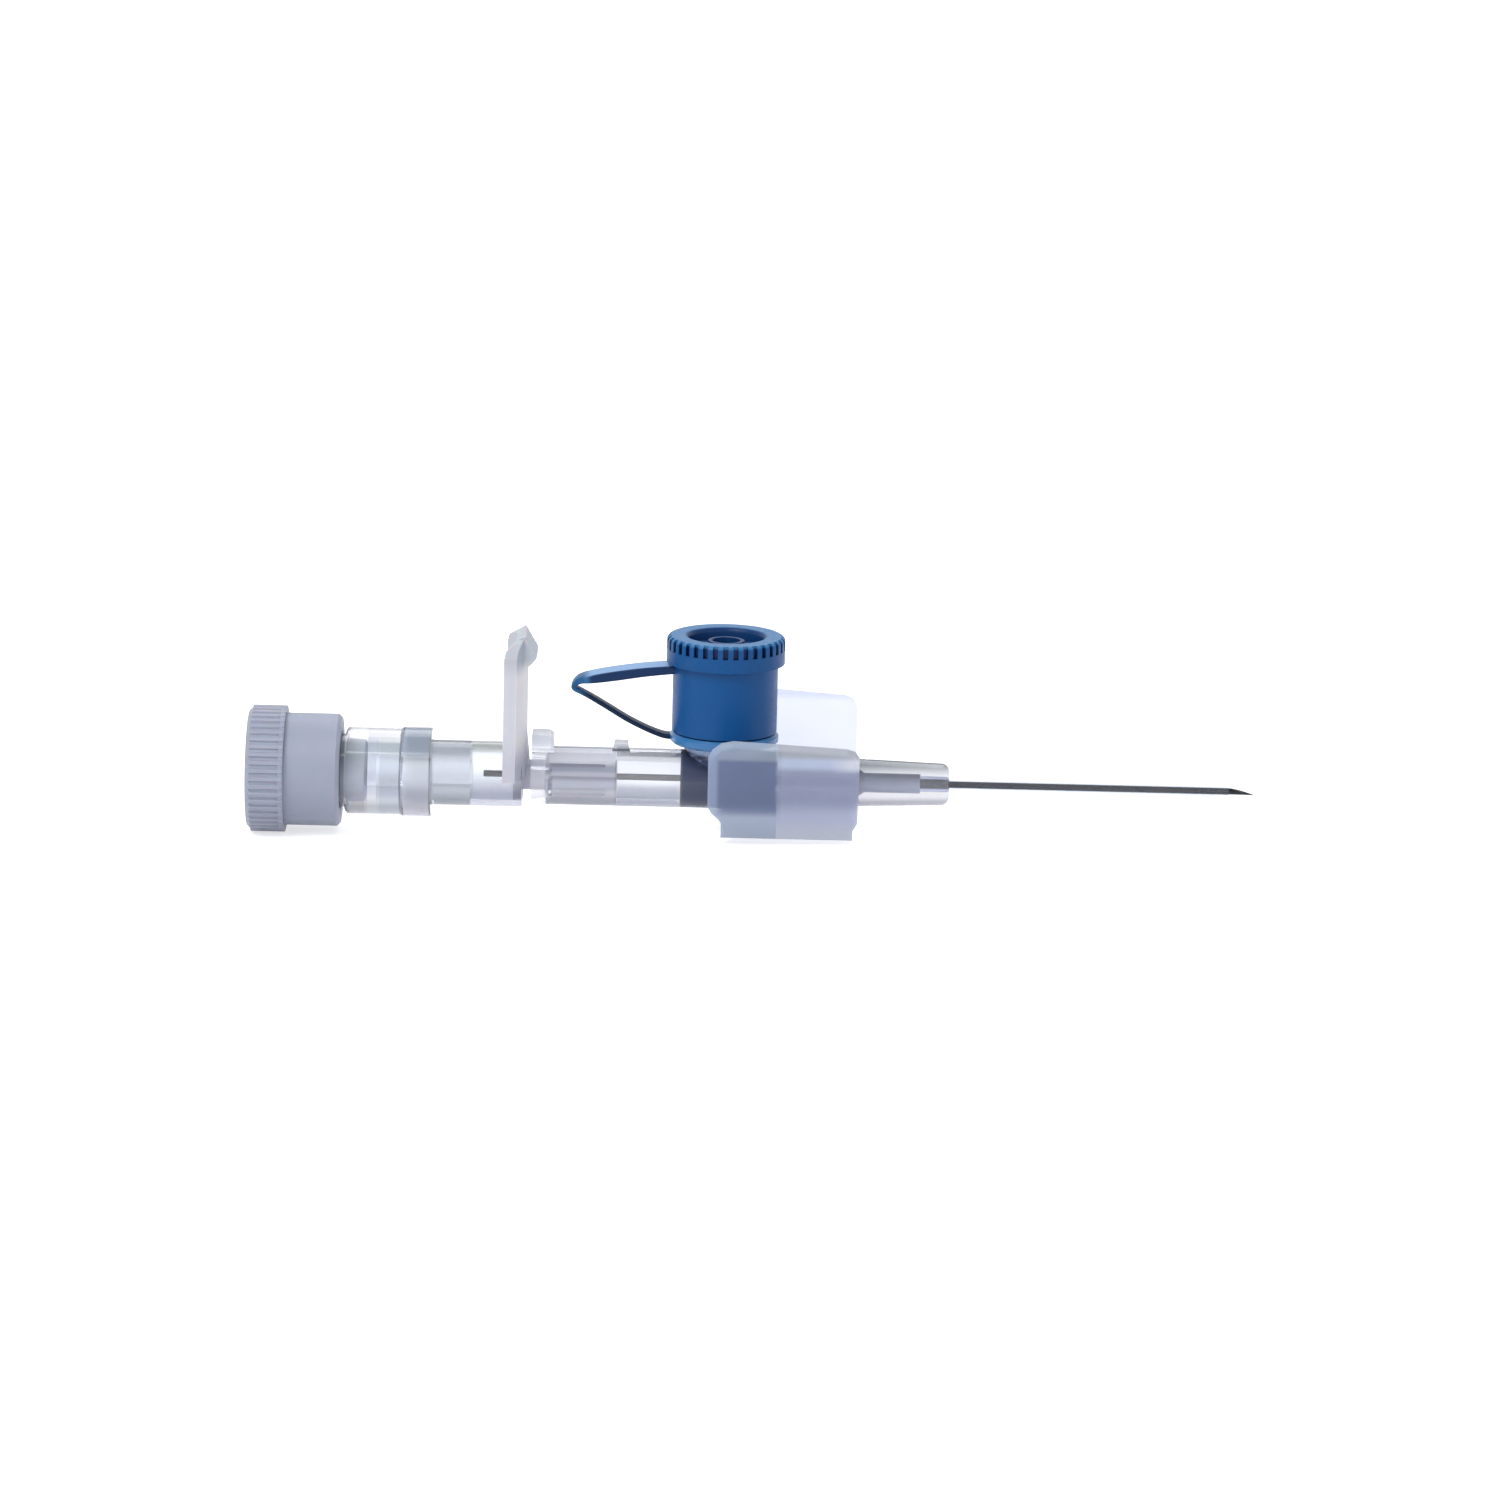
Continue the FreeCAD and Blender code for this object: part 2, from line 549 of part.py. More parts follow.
nodes = {
    "needle": needle,
    "catheter_tube": catheter_tube,
    "catheter_bushing": catheter_bushing,
    "catheter_hub": catheter_hub,
    "port_valve": port_valve,
    "cap_ring": cap_ring,
    "port_cap": port_cap,
    "cap_strap": cap_strap,
    "wing_root": wing_root,
    "left_wing": left_wing,
    "right_wing": right_wing,
    "needle_hub": needle_hub,
    "flash_chamber": flash_chamber,
    "chamber_end_piece": end_piece,
    "vent_filter": vent_filter,
    "luer_plug": luer_plug,
}

os.makedirs("parts", exist_ok=True)
for name, shape in nodes.items():
    solid = shape.Solids[0] if len(shape.Solids) == 1 else shape
    print(name, len(shape.Solids), shape.isValid(), round(shape.Volume, 2))
    solid.exportStep("parts/" + name + ".step")
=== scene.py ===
import math

import bpy
from mathutils import Matrix, Vector


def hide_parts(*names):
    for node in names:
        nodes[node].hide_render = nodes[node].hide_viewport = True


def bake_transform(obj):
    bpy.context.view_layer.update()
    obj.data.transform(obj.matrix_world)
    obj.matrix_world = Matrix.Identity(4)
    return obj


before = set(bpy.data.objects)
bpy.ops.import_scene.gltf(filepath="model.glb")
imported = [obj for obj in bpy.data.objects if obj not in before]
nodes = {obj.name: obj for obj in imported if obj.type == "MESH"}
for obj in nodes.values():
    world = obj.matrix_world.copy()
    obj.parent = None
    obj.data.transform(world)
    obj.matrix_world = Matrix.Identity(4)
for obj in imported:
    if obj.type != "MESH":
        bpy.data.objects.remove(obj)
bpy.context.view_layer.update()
scene = bpy.context.scene
MM = 0.001

# Where the port's axis stands along the needle, in millimetres
port_x = -20.2


# Colour and material helpers

def linear(colour, alpha=1.0):
    """Linear colour from an sRGB hex such as "#235a94"."""
    parts = [int(colour[i:i + 2], 16) / 255 for i in (1, 3, 5)]
    return [p / 12.92 if p <= 0.04045 else ((p + 0.055) / 1.055) ** 2.4 for p in parts] + [alpha]


def add(tree, kind, settings=None, links=None):
    """Adds a shader node, sets its sockets and properties, and links its inputs."""
    made = tree.nodes.new(kind)
    for name, value in (settings or {}).items():
        if isinstance(name, int) or name in made.inputs:
            made.inputs[name].default_value = value
        else:
            setattr(made, name, value)
    for name, source in (links or {}).items():
        tree.links.new(source, made.inputs[name])
    return made


def blank(name):
    """New node material with only an output."""
    made = bpy.data.materials.new(name)
    made.use_nodes = True
    made.node_tree.nodes.clear()
    return made, made.node_tree


def coordinates(tree, place):
    """Sockets for X, Y, Z, for R out from the port's axis, and for U and V along and across a band."""
    parts = add(tree, "ShaderNodeSeparateXYZ", None, {"Vector": place}).outputs
    from_port = add(tree, "ShaderNodeVectorMath",
                    {"operation": "MULTIPLY_ADD", 1: (1, 1, 0), 2: (-port_x * MM, 0, 0)}, {0: place})
    radius = add(tree, "ShaderNodeVectorMath", {"operation": "LENGTH"}, {0: from_port.outputs[0]})
    spread = add(tree, "ShaderNodeTexCoord").outputs["UV"]
    flat = add(tree, "ShaderNodeSeparateXYZ", None, {"Vector": spread}).outputs
    return {"X": parts["X"], "Y": parts["Y"], "Z": parts["Z"], "R": radius.outputs["Value"],
            "U": flat["X"], "V": flat["Y"]}


def fade_share(tree, where, axis, start, end, back=None, front=None, soft=0.02):
    """Rises from 0 at start to 1 at end along an axis, and holds only between back and front along X."""
    share = add(tree, "ShaderNodeMapRange",
                {"From Min": start * MM, "From Max": end * MM, "interpolation_type": "SMOOTHSTEP"},
                {"Value": where[axis]}).outputs[0]
    if back is None:
        return share
    half = (front - back) / 2
    offset = add(tree, "ShaderNodeMath", {"operation": "SUBTRACT", 1: (back + front) / 2 * MM},
                 {0: where["X"]})
    away = add(tree, "ShaderNodeMath", {"operation": "ABSOLUTE"}, {0: offset.outputs[0]})
    held = add(tree, "ShaderNodeMapRange",
               {"From Min": (half + soft) * MM, "From Max": (half - soft) * MM}, {"Value": away.outputs[0]})
    return add(tree, "ShaderNodeMath", {"operation": "MULTIPLY"}, {0: share, 1: held.outputs[0]}).outputs[0]


def within(tree, value, low, high):
    """1 where the value lies between low and high, in millimetres, and 0 elsewhere."""
    return add(tree, "ShaderNodeMath",
               {"operation": "COMPARE", 1: (low + high) / 2 * MM, 2: (high - low) / 2 * MM},
               {0: value}).outputs[0]


def cloud(tree, where, clear, milky):
    """Turns the socket clear, a see-through share, to each milky share from its start to its end."""
    for axis, start, end, share in milky:
        clouding = add(tree, "ShaderNodeMapRange",
                       {"From Min": start * MM, "From Max": end * MM, "To Min": clear.default_value,
                        "To Max": share}, {"Value": where[axis]})
        if clear.links:
            tree.links.new(clear.links[0].from_socket, clouding.inputs["To Min"])
        tree.links.new(clouding.outputs[0], clear)


def seated(tree, place, where, skin, seats):
    """Lets shadow rays through a clear skin, and all light through it at its seats, with no bending."""
    passing = add(tree, "ShaderNodeLightPath").outputs["Is Shadow Ray"]
    sideways = add(tree, "ShaderNodeVectorMath", {"operation": "MULTIPLY", 1: (0, 1, 1)}, {0: place})
    radius = add(tree, "ShaderNodeVectorMath", {"operation": "LENGTH"}, {0: sideways.outputs[0]})
    for inner, outer, back, front in seats:
        across = within(tree, radius.outputs["Value"], inner, outer)
        along = within(tree, where["X"], back, front)
        tight = add(tree, "ShaderNodeMath", {"operation": "MULTIPLY"}, {0: across, 1: along}).outputs[0]
        passing = add(tree, "ShaderNodeMath", {"operation": "MAXIMUM"}, {0: passing, 1: tight}).outputs[0]
    open_air = add(tree, "ShaderNodeBsdfTransparent", {"Color": linear("#fafafb")}).outputs[0]
    return add(tree, "ShaderNodeMixShader", None, {0: passing, 1: skin, 2: open_air}).outputs[0]


def moulded(name, light, dark, size, rough, wave=None, fades=(), see_through=0.0, tint=None, milky=(),
            seats=(), relief=0.15, **surface):
    """Plastic or metal with a soft two-tone mottle, uneven gloss and a fine relief.

    size is the mottle's length in metres, wave an optional (spacing, axis, depth) of machining or flow
    lines, with the spacing in metres. Each fade is (axis, start, end, colour): the surface turns to that
    colour from start to end, in millimetres along X, Y, Z, out from the port's axis R, or along and
    across a band U and V. It may end with the back and front between which it holds, and how softly it
    ends there. see_through is the share of light that passes straight through each face, coloured by
    tint, or by the surface's own colour. Each milky is (axis, start, end, share): from start to end the
    plastic clouds until only that share passes. Each seat is (inner radius, outer radius, back, front)
    about the needle: there the clear wall sits tight on its neighbour, and light crosses unbent.
    """
    made, tree = blank(name)
    place = add(tree, "ShaderNodeTexCoord").outputs["Object"]
    where = coordinates(tree, place)
    mottle = add(tree, "ShaderNodeTexNoise", {"Scale": 1 / size, "Detail": 4.0, "Roughness": 0.55},
                 {"Vector": place})
    fine = add(tree, "ShaderNodeTexNoise", {"Scale": 9 / size, "Detail": 3.0}, {"Vector": place})
    tone = add(tree, "ShaderNodeMix", {"data_type": "RGBA", 6: linear(light), 7: linear(dark)},
               {0: mottle.outputs["Fac"]}).outputs[2]
    for axis, start, end, shade, *limits in fades:
        share = fade_share(tree, where, axis, start, end, *limits)
        tone = add(tree, "ShaderNodeMix", {"data_type": "RGBA", 7: linear(shade)},
                   {0: share, 6: tone}).outputs[2]
    gloss = add(tree, "ShaderNodeMapRange", {"From Min": 0.3, "From Max": 0.7, "To Min": rough * 0.85,
                                             "To Max": rough * 1.2}, {"Value": fine.outputs["Fac"]})
    height = fine.outputs["Fac"]
    if wave:
        spacing, axis, depth = wave
        # The bands of a wave texture lie 0.314 / scale apart
        lines = add(tree, "ShaderNodeTexWave", {"wave_type": "BANDS", "bands_direction": axis,
                                                "Scale": 0.314 / spacing, "Distortion": 1.5, "Detail": 2.0},
                    {"Vector": place})
        height = add(tree, "ShaderNodeMath", {"operation": "MULTIPLY_ADD", 1: depth},
                     {0: lines.outputs["Fac"], 2: height}).outputs[0]
    bump = add(tree, "ShaderNodeBump", {"Strength": relief, "Distance": 0.00003}, {"Height": height})
    shader = add(tree, "ShaderNodeBsdfPrincipled", surface,
                 {"Base Color": tone, "Roughness": gloss.outputs[0], "Normal": bump.outputs[0]})
    skin, clear = shader.outputs[0], shader.inputs["Transmission Weight"]
    if see_through:
        if tint:
            open_air = add(tree, "ShaderNodeBsdfTransparent", {"Color": linear(tint)}).outputs[0]
        else:
            open_air = add(tree, "ShaderNodeBsdfTransparent", None, {"Color": tone}).outputs[0]
        mixed = add(tree, "ShaderNodeMixShader", {0: see_through}, {1: skin, 2: open_air})
        skin, clear = mixed.outputs[0], mixed.inputs[0]
    cloud(tree, where, clear, milky)
    if surface.get("Transmission Weight"):
        skin = seated(tree, place, where, skin, seats)
    add(tree, "ShaderNodeOutputMaterial", None, {"Surface": skin})
    return made


def bands(back, front, *steps):
    """Fades that lead down through (height, colour) steps between back and front, all in millimetres."""
    far_above = 99.0
    fades = [("Z", far_above, far_above - 1.0, steps[0][1], back, front)]
    for (above, _), (below, colour) in zip(steps, steps[1:]):
        fades.append(("Z", above, below, colour, back, front))
    return fades


# Materials, each named for what it is

# Ground steel: dark grey with fine lengthways grinding lines that stretch the highlight
steel = moulded("ground_steel", "#37383e", "#292a2f", 0.004, 0.32, wave=(0.00006, "Y", 0.6), Metallic=1.0)
# Soft fluoropolymer tube: a thin film that only softens the needle inside it, with painted violet-grey shade
# on the length that lies within the nose
tube_film = moulded("fluoropolymer_tube", "#f0f2f5", "#e6e9ee", 0.003, 0.3, see_through=0.94,
                    fades=[("X", 0.05, -0.05, "#d8dae6")], IOR=1.36)
# Drawn ferrule: grey-violet metal inside the nose
ferrule = moulded("drawn_steel_ferrule", "#9da2b6", "#8b90a6", 0.002, 0.4, wave=(0.0002, "X", 0.5),
                  Metallic=0.5)
# Clear rigid moulding of the hub: glass-like, with a faint relief that wobbles the highlights. Painted shade
# greys it along its top and turns it lavender along its underside. Painted light and dark bands over the cone
# stand in for what its wall bends into view. A painted dark band runs along the top of the nose, with a
# painted highlight low down and a grey edge below it. Painted bluish shade lies beneath the ring, and a
# painted bluish-white highlight sits at the port's foot
clear_hub = moulded("clear_polycarbonate", "#f6f7fa", "#eef0f4", 0.006, 0.05, relief=0.05,
                    fades=[("Z", 1.7, 1.3, "#bcc0c9", -36.0, -29.7),
                           ("Z", 1.05, 0.8, "#f0f1f6", -36.0, -29.7),
                           ("Z", 0.62, 0.45, "#a8acb6", -36.0, -29.7),
                           ("Z", 0.3, 0.05, "#c6c8d4", -36.0, -29.7),
                           ("Z", -0.6, -0.9, "#f4f5fa", -36.0, -29.7),
                           ("Z", 2.35, 2.65, "#b2b6c0"), ("Z", 2.48, 2.66, "#80848c", -29.7, -8.4),
                           ("Z", 2.75, 3.1, "#d2d5dc"), ("Z", -0.9, -2.1, "#abaeba"),
                           ("Z", -1.2, -1.9, "#a4a8b6", -29.6, -24.3),
                           ("Z", -0.9, -2.1, "#ffffff", -37.6, -36.0),
                           ("Z", 2.5, 2.9, "#dde0ea", -37.9, -35.6),
                           ("Z", 2.6, 2.9, "#b4c8ea", -24.5, -15.5),
                           ("Z", 0.4, 2.1, "#353e42", -8.3, 0.1), ("Z", -0.4, -0.9, "#f2f2fa", -8.3, 0.1),
                           ("Z", -1.3, -1.7, "#dcdce6", -8.3, 0.1), ("Z", 2.6, 2.4, "#9cacd8", -23.8, -15.5)],
                    milky=[("Z", 2.6, 2.95, 0.4)],
                    seats=[(0, 2.3, -24.0, -8.4), (0, 2.3, -36.0, -29.7), (0, 1.1, -8.45, 0.05)],
                    **{"Transmission Weight": 0.88, "IOR": 1.45})
# Clear tube of the flash chamber, with painted grey shade along its top, painted lavender shade along its
# underside, and painted bands over the spigot inside it that stand in for what its walls bend into view
clear_chamber = moulded("clear_styrene_tube", "#f8fafb", "#f1f4f6", 0.006, 0.08, relief=0.06,
                        fades=[("Z", 2.0, 2.8, "#b4baba"), ("Z", 0.2, -1.6, "#bfc1cc"),
                               *bands(-46.2, -42.7, (2.3, "#888f94"), (1.3, "#f2f9fc"), (0.1, "#c8cdd3"),
                                      (-1.3, "#ced5df"), (-1.9, "#f4fbff"))],
                        seats=[(2.2, 2.45, -48.9, -42.7), (2.8, 3.0, -48.9, -46.2)],
                        **{"Transmission Weight": 0.94, "IOR": 1.45})
# Clear end piece, thicker than the tube: painted grey-green shade above and painted lavender shade below.
# Painted bands of tint stand in for what its inner walls bend into view, and a painted white highlight runs
# along its top towards the back
clear_end = moulded("clear_styrene_block", "#eaeef0", "#e0e5e8", 0.006, 0.08, relief=0.06,
                    fades=[("Z", 0.6, 2.2, "#bac5c1"), ("Z", -0.4, -1.6, "#dcdce2"),
                           *bands(-52.1, -51.0, (2.6, "#a9b3b9"), (1.5, "#c6ccd0"), (0.2, "#a3a5b2"),
                                  (-0.9, "#cfd6e8"), (-2.0, "#fafcff")),
                           *bands(-51.0, -48.9, (2.6, "#a0acb4"), (1.5, "#e0eaf2"), (0.0, "#a4a9ac"),
                                  (-1.2, "#b0b6c9"), (-2.3, "#f0f6ff")),
                           *bands(-48.9, -46.3, (2.7, "#9aa6b5"), (1.4, "#f4faff"), (0.4, "#ebf0f9"),
                                  (-1.3, "#c3c7d5"), (-2.7, "#eeeff9")),
                           ("Z", 3.0, 3.3, "#ffffff", -56.6, -48.9)],
                    seats=[(0, 2.45, -58.5, -49.0), (2.2, 2.45, -49.0, -46.3), (0, 2.45, -46.3, -42.7),
                           (2.8, 3.0, -48.9, -46.2)],
                    milky=[("X", -46.3, -46.4, 0.45), ("X", -48.6, -48.7, 0.9)],
                    **{"Transmission Weight": 0.9, "IOR": 1.45})
# Silicone sleeve: dark, dull rubber with a dusty bloom
silicone = moulded("dark_silicone", "#272b45", "#20243c", 0.002, 0.5, relief=0.25,
                   **{"Specular IOR Level": 0.3})
# Blue moulding of the cap: saturated with a satin sheen; painted shade darkens its notches and its top
# recess, and painted light makes its top face paler
blue = moulded("blue_polyethylene", "#004f8c", "#00477f", 0.003, 0.4, relief=0.2,
               fades=[("R", 5.2, 5.05, "#001f52"), ("R", 4.8, 4.7, "#004d8a"), ("Z", 12.75, 13.05, "#3a76aa"),
                      ("R", 3.75, 3.45, "#06386c")],
               **{"Specular IOR Level": 0.25})
# The ring of the same moulding, thin, at the port's foot: painted lighter than the cap as a painted sheen
blue_ring = moulded("blue_polyethylene_ring", "#3578b0", "#2769a2", 0.003, 0.22, relief=0.2)
# The strap of the same moulding: painted light makes it pale along the upper arm, and painted shade makes it
# deeper round the fold and dark navy along the lower arm and both edges
blue_strap = moulded("blue_polyethylene_strap", "#8ab0dc", "#7ea4d1", 0.003, 0.4, relief=0.2,
                     fades=[("V", -1.15, -1.3, "#0a2c56"), ("V", 1.15, 1.3, "#0a2c56"),
                            ("U", 7.6, 8.6, "#225c8c"), ("U", 10.0, 11.5, "#04203f")],
                     **{"Specular IOR Level": 0.2})
# Frosted wing sheet of the near wing: lavender-grey, half see-through, so the sleeve shows darker behind it,
# clouded in front of that and low down. It is a darker copy of the far wing's moulding, as painted shade;
# painted light pales its front panel, a band under its upper edge, its lower part and its rear rim, painted
# grey shade lies along its top edge, and a painted highlight brightens its top front corner
frosted_wing = moulded("frosted_polypropylene_wing", "#91a0c7", "#8796bd", 0.004, 0.5, see_through=0.51,
                       fades=[("X", -15.5, -15.3, "#a4abc8"), ("Z", 3.0, 3.9, "#d3e0f9", -15.4, -8.0),
                              ("Z", 3.0, 3.9, "#f1f4ff", -9.9, -7.0, 0.9),
                              ("Z", 4.3, 5.0, "#babec8", -15.4, -8.0),
                              ("Z", 0.2, -1.9, "#cfd5ed", -15.4, -8.0),
                              ("Z", -1.9, -3.9, "#e6ebf7", -15.4, -8.0),
                              ("Z", 4.0, 4.5, "#c0cee2", -22.0, -15.4),
                              ("Z", -1.1, -2.1, "#c5d0e4", -22.0, -15.4),
                              ("X", -20.4, -20.9, "#becef0")],
                       tint="#e9eae9", milky=[("X", -15.6, -14.9, 0.25), ("Z", -1.1, -2.1, 0.25)], relief=0.3)
# The root under the hub is the same moulding, thinner
frosted_root = moulded("frosted_polypropylene_root", "#b6bedb", "#acb4d2", 0.004, 0.5, see_through=0.65,
                       tint="#f0f1f4", relief=0.3)
# The far wing: the palest sheet, painted light that stands for the light coming through it, a little fuller
# along its rim
lit_wing = moulded("frosted_polypropylene_wing_lit", "#eff1f8", "#e8eaf2", 0.004, 0.5, see_through=0.87,
                   fades=[("Z", 4.9, 5.5, "#e4e7f0")], milky=[("Z", 4.9, 5.5, 0.84)], relief=0.1)
# Frosted grip: paler than the wings, milky, and painted a little darker low down as painted shade. Painted
# light and painted shade even out the front and rear parts of its tab, which greys towards its top, and over
# the cone inside the hub a painted highlight whitens its top and painted light lifts its underside
frosted_grip = moulded("frosted_polypropylene_grip", "#eaecf3", "#e0e2ed", 0.004, 0.45, see_through=0.1,
                       fades=[("X", -38.75, -38.65, "#ffffff", -39.0, -37.0),
                              ("Z", 9.3, 11.3, "#c2c8d1", -38.7, -37.0),
                              ("X", -38.65, -38.75, "#d4d7df", -45.0, -38.7),
                              ("Z", 9.3, 11.3, "#c2c6cf", -45.0, -38.7), ("Z", 4.2, 1.2, "#cbcdd9"),
                              ("Z", 1.2, 1.9, "#fafafc", -36.0, -29.6),
                              ("Z", 0.6, -0.4, "#f6f7fd", -36.0, -29.6)], relief=0.25,
                       **{"Subsurface Weight": 0.3, "Subsurface Scale": 0.001})
# Frosted plug: cooler and darker, nearly solid; painted light pales its cone where it shows through the clear
# end
frosted_plug = moulded("frosted_polypropylene_plug", "#a1a7b8", "#969cae", 0.004, 0.48,
                       fades=[("X", -54.0, -53.6, "#cdd1e0")],
                       relief=0.3, **{"Subsurface Weight": 0.25, "Subsurface Scale": 0.001})
# Porous disc: white sintered grains
porous = moulded("sintered_polyethylene", "#eceef0", "#d9dde2", 0.0006, 0.8, relief=0.8)

finish = {
    "needle": steel,
    "catheter_tube": tube_film,
    "catheter_bushing": ferrule,
    "catheter_hub": clear_hub,
    "port_valve": silicone,
    "cap_ring": blue_ring,
    "port_cap": blue,
    "cap_strap": blue,
    "wing_root": frosted_root,
    # The two wings are one moulding: the far wing takes the painted lit copy, the near wing the painted
    # shaded copy
    "left_wing": lit_wing,
    "right_wing": frosted_wing,
    "needle_hub": frosted_grip,
    "flash_chamber": clear_chamber,
    "chamber_end_piece": clear_end,
    "vent_filter": porous,
    "luer_plug": frosted_plug,
}
for name, material in finish.items():
    mesh = nodes[name].data
    mesh.materials.clear()
    mesh.materials.append(material)


# Strap from the cap to the ring, made again as one smooth band.
# Each point gives its share of the strap's reach, of the height between its ends, and of its thickness.
# Sizes are in millimetres

strap_reach, strap_thick = 13.45, 0.78
half_width_at_cap, half_width_at_ring = 1.35, 0.75
narrowing_start, narrowing_length = 0.25, 0.2
strap_corner = 0.2
strap_low, strap_high = 3.91, 10.15
points_round = 20
strap_line = [(0.31, 1.0, 1.0), (0.37, 0.99, 1.0), (0.54, 0.95, 1.1), (0.73, 0.885, 1.15), (0.88, 0.83, 1.0),
              (0.96, 0.795, 0.75), (1.0, 0.72, 0.56), (0.995, 0.665, 0.54), (0.95, 0.615, 0.5),
              (0.88, 0.535, 0.5), (0.765, 0.39, 0.52), (0.64, 0.23, 0.52), (0.51, 0.095, 0.52),
              (0.41, 0.015, 0.56), (0.35, 0.0, 0.62), (0.31, 0.0, 0.64)]


def smoothed(points, steps):
    """Points of a Catmull-Rom curve through the given ones, at the given steps between each two."""
    last = len(points) - 1
    curve = []
    for i in range(last):
        p0, p1, p2, p3 = (points[min(max(i + k, 0), last)] for k in (-1, 0, 1, 2))
        for t in steps:
            curve.append(0.5 * (2 * p1 + (p2 - p0) * t + (2 * p0 - 5 * p1 + 4 * p2 - p3) * t ** 2
                                + (3 * p1 - p0 - 3 * p2 + p3) * t ** 3))
    return curve + [points[-1]]


strap_points = []
for reach, height, thickness in strap_line:
    strap_points.append(Vector((port_x - strap_reach * reach,
                                strap_low + (strap_high - strap_low) * height, strap_thick * thickness)))
smooth = smoothed(strap_points, (0, 0.2, 0.4, 0.6, 0.8))
run = [0.0]
for here, ahead in zip(smooth, smooth[1:]):
    run.append(run[-1] + (ahead - here).to_2d().length)
verts = []
for i, point in enumerate(smooth):
    ahead = smooth[min(i + 1, len(smooth) - 1)] - smooth[max(i - 1, 0)]
    normal = Vector((-ahead.y, ahead.x)).normalized()
    half = point.z / 2
    corner = min(strap_corner, half * 0.9)
    narrowed = min(max((i / len(smooth) - narrowing_start) / narrowing_length, 0), 1)
    wide = half_width_at_cap + (half_width_at_ring - half_width_at_cap) * narrowed
    for k in range(points_round):
        angle = 2 * math.pi * (k + 0.5) / points_round
        across = math.copysign(wide - corner, math.cos(angle)) + corner * math.cos(angle)
        out = math.copysign(half - corner, math.sin(angle)) + corner * math.sin(angle)
        verts.append(((point.x + normal.x * out) * MM, across * MM, (point.y + normal.y * out) * MM))
faces = [(i * points_round + k, i * points_round + (k + 1) % points_round,
          (i + 1) * points_round + (k + 1) % points_round, (i + 1) * points_round + k)
         for i in range(len(smooth) - 1) for k in range(points_round)]
faces.append(tuple(range(points_round)))
faces.append(tuple(reversed(range(len(verts) - points_round, len(verts)))))
strap_mesh = bpy.data.meshes.new("strap_band")
strap_mesh.from_pydata(verts, [], faces)
strap_mesh.validate()
spread = strap_mesh.uv_layers.new(name="along_and_across")
for loop in strap_mesh.loops:
    spread.data[loop.index].uv = (run[loop.vertex_index // points_round] * MM, verts[loop.vertex_index][1])
strap_mesh.shade_smooth()
strap_mesh.materials.append(blue_strap)
strap = bpy.data.objects.new("strap_band", strap_mesh)
scene.collection.objects.link(strap)
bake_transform(strap)
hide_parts("cap_strap")


# Floor, which lies under the plug's rim and the front of the wing root: it rises by 0.8 mm over the
# 52 mm between them

rest_slope = math.atan2(0.8, 52.0)
rim_x, rim_low, floor_gap = -60.7, -5.6, 0.02
bpy.ops.mesh.primitive_plane_add(size=3.0, location=(rim_x * MM, 0, (rim_low - floor_gap) * MM))
floor = bpy.context.object
floor.name = "floor"
floor.rotation_euler = (0, -rest_slope, 0)
paper, paper_tree = blank("pale_floor")
paper_place = add(paper_tree, "ShaderNodeTexCoord").outputs["Object"]
paper_grain = add(paper_tree, "ShaderNodeTexNoise", {"Scale": 300.0}, {"Vector": paper_place})
paper_tone = add(paper_tree, "ShaderNodeMix",
                 {"data_type": "RGBA", 6: linear("#e8e8ea"), 7: linear("#e4e4e6")},
                 {0: paper_grain.outputs["Fac"]})
paper_skin = add(paper_tree, "ShaderNodeBsdfDiffuse", None, {"Color": paper_tone.outputs[2]})
paper_rays = add(paper_tree, "ShaderNodeLightPath")
paper_clear = add(paper_tree, "ShaderNodeMath", {"operation": "MAXIMUM"},
                  {0: paper_rays.outputs["Is Transmission Ray"], 1: paper_rays.outputs["Is Glossy Ray"]})
paper_seen = add(paper_tree, "ShaderNodeMath", {"operation": "MAXIMUM"},
                 {0: paper_rays.outputs["Is Camera Ray"], 1: paper_clear.outputs[0]})
paper_lift = add(paper_tree, "ShaderNodeMath", {"operation": "MULTIPLY", 1: 0.62},
                 {0: paper_seen.outputs[0]})
paper_glow = add(paper_tree, "ShaderNodeEmission", {"Color": linear("#ffffff")},
                 {"Strength": paper_lift.outputs[0]})
paper_both = add(paper_tree, "ShaderNodeAddShader", None,
                 {0: paper_skin.outputs[0], 1: paper_glow.outputs[0]})
add(paper_tree, "ShaderNodeOutputMaterial", None, {"Surface": paper_both.outputs[0]})
floor.data.materials.append(paper)

# Light: white where the camera looks; for every other ray bright at the horizon and a cool grey above,
# which draws the grey edges and bands in the clear mouldings

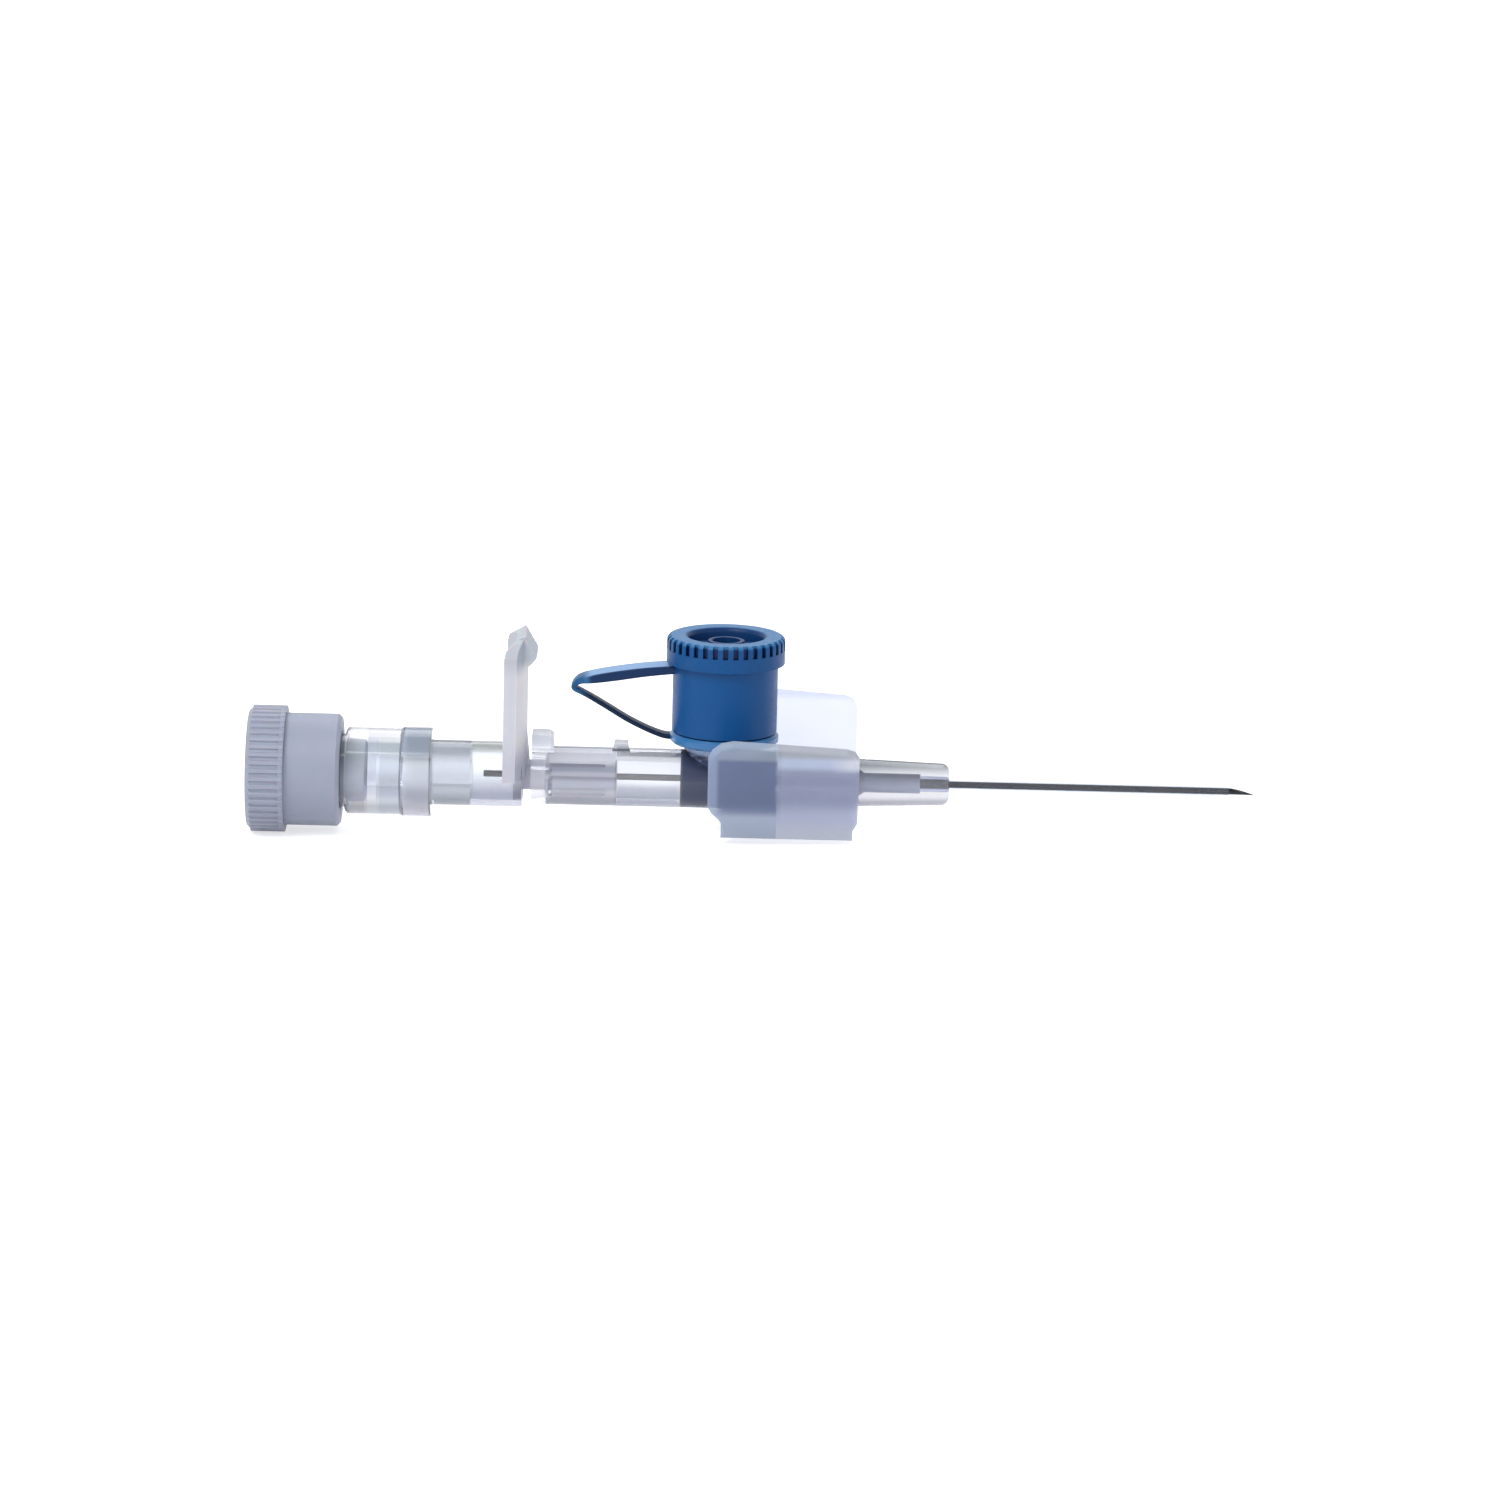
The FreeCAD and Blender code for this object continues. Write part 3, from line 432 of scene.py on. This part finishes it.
world = bpy.data.worlds.new("studio")
scene.world = world
world.use_nodes = True
sky = world.node_tree
sky.nodes.clear()
look = add(sky, "ShaderNodeTexCoord").outputs["Generated"]
up = add(sky, "ShaderNodeSeparateXYZ", None, {"Vector": look}).outputs["Z"]
lift = add(sky, "ShaderNodeMapRange", {"From Min": 0.15, "From Max": 0.5, "interpolation_type": "SMOOTHSTEP"},
           {"Value": up}).outputs[0]
shade = add(sky, "ShaderNodeMix", {"data_type": "RGBA", 6: linear("#ffffff"), 7: (0.42, 0.43, 0.46, 1)},
            {0: lift}).outputs[2]
around = add(sky, "ShaderNodeBackground", {"Strength": 1.0}, {"Color": shade})
white = add(sky, "ShaderNodeBackground", {"Color": linear("#ffffff"), "Strength": 1.0})
seen = add(sky, "ShaderNodeLightPath").outputs["Is Camera Ray"]
both = add(sky, "ShaderNodeMixShader", None, {0: seen, 1: around.outputs[0], 2: white.outputs[0]})
add(sky, "ShaderNodeOutputWorld", None, {"Surface": both.outputs[0]})


def lamp(name, place, size, power):
    """Square soft lamp, in metres and watts, that looks at the object's middle. Clear parts don't show it."""
    data = bpy.data.lights.new(name, "AREA")
    data.shape = "SQUARE"
    data.size = size
    data.energy = power
    made = bpy.data.objects.new(name, data)
    scene.collection.objects.link(made)
    made.location = place
    made.visible_transmission = False
    aim = Vector((-18 * MM, 0, 3 * MM)) - made.location
    made.rotation_euler = aim.to_track_quat("-Z", "Y").to_euler()


lamp("key", (-0.20, -0.20, 0.32), 0.22, 0.95)
lamp("fill", (0.25, -0.25, 0.15), 0.25, 0.12)
lamp("back", (-0.02, 0.26, 0.30), 0.25, 0.45)

# Camera: side on as in the photograph, thirteen degrees above, rolled so the axis falls to the right

picture_width, pixels_a_mm = 1499, 11.2
sensor = 36.0
elevation = math.radians(13.0)
distance = 0.6
roll = math.radians(1.4)
target = Vector((-17.9 * MM, 0, 2.77 * MM))
camera_data = bpy.data.cameras.new("camera")
camera = bpy.data.objects.new("camera", camera_data)
scene.collection.objects.link(camera)
scene.camera = camera
back = Vector((0, -math.cos(elevation), math.sin(elevation)))
camera.location = target + back * distance
turn = (-back).to_track_quat("-Z", "Y").to_matrix().to_4x4() @ Matrix.Rotation(roll, 4, "Z")
camera.rotation_euler = turn.to_euler()
camera_data.sensor_width = sensor
camera_data.lens = sensor * distance / (picture_width / pixels_a_mm * MM)
camera_data.clip_start = 0.01
camera_data.clip_end = 10.0

scene.view_settings.view_transform = "Standard"
